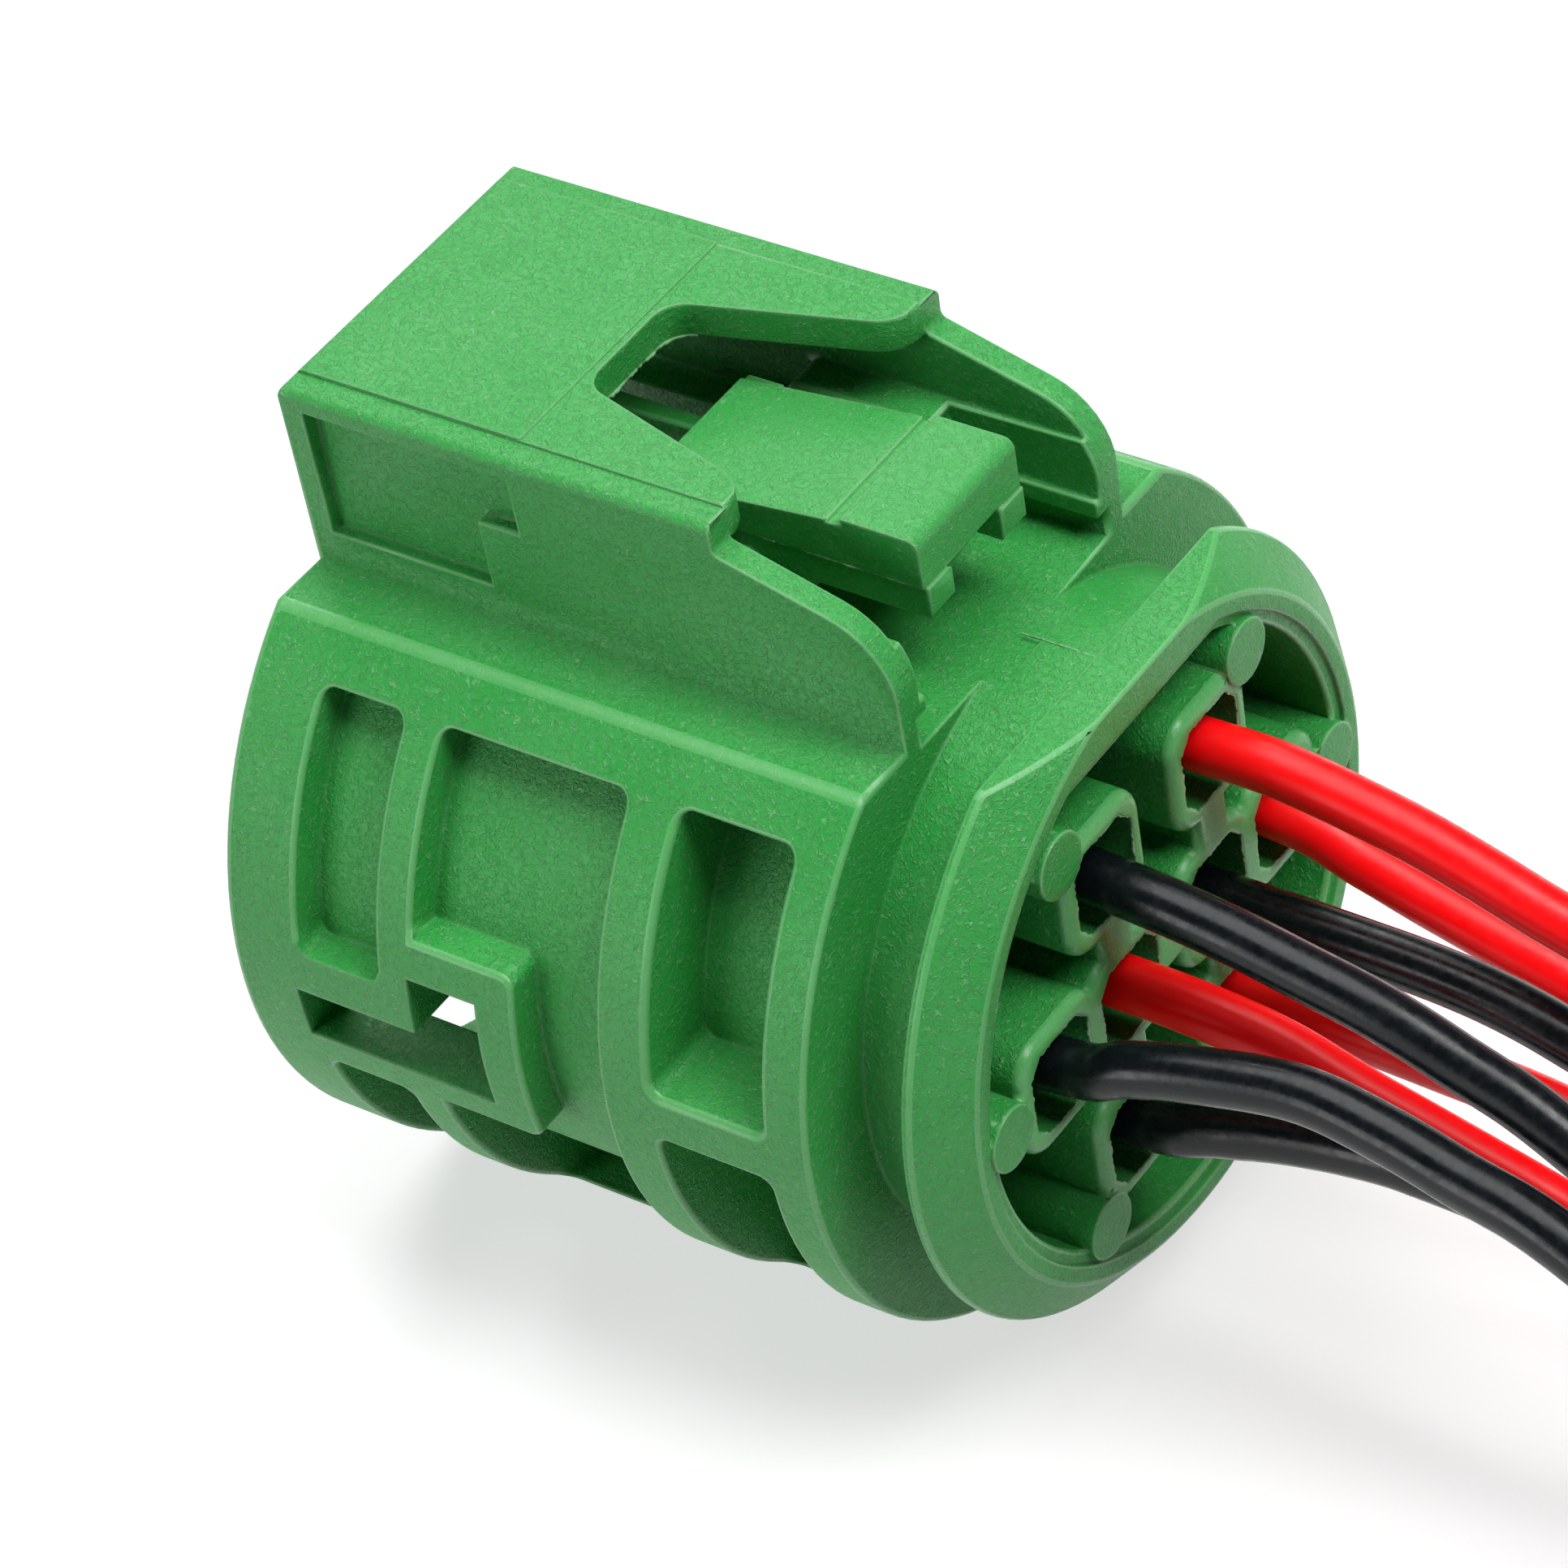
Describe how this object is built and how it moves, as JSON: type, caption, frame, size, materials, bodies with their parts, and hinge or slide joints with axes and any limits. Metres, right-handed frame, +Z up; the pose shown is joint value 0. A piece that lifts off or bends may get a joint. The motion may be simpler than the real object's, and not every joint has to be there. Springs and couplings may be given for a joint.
{
  "type": "headlight connector",
  "caption": "Round plug housing for a headlight lead, with a hooded latch lever, ribbed sleeve, contacts in a cell block and red and black wires from its rear ring.",
  "frame": {"origin": "on the plug's axis, at its front face", "axes": "+X along the plug from the front face towards the wires, +Z up through the hood, +Y to the side"},
  "size_m": [0.111, 0.036, 0.0411],
  "materials": {
    "housing_plastic": "fine grain, satin",
    "lever_plastic": "fine grain, satin",
    "tinned_contact": "tinned, satin",
    "red_insulation": "satin",
    "black_insulation": "satin",
    "bare_copper": "bright"
  },
  "bodies": {
    "plug": {"housing": "housing_plastic", "contact_1": "tinned_contact", "contact_2": "tinned_contact", "contact_3": "tinned_contact", "contact_4": "tinned_contact", "contact_5": "tinned_contact", "contact_6": "tinned_contact", "contact_7": "tinned_contact", "contact_8": "tinned_contact", "wire_1": "red_insulation", "wire_2": "red_insulation", "wire_3": "black_insulation", "wire_4": "black_insulation", "wire_5": "red_insulation", "wire_6": "red_insulation", "wire_7": "black_insulation", "wire_8": "black_insulation", "bare_end_1": "bare_copper", "bare_end_2": "bare_copper", "bare_end_3": "bare_copper", "bare_end_4": "bare_copper", "bare_end_5": "bare_copper", "bare_end_6": "bare_copper", "bare_end_7": "bare_copper", "bare_end_8": "bare_copper"},
    "lever": {"latch_lever": "lever_plastic"}
  },
  "joints": [
    {"name": "latch_press", "type": "hinge", "parent": "plug", "child": "lever", "pos_m": [0.0186, 0, 0.017], "axis": [0, 1, 0], "range_deg": [0, 12], "stiffness_Nm_per_rad": 0.12}
  ]
}
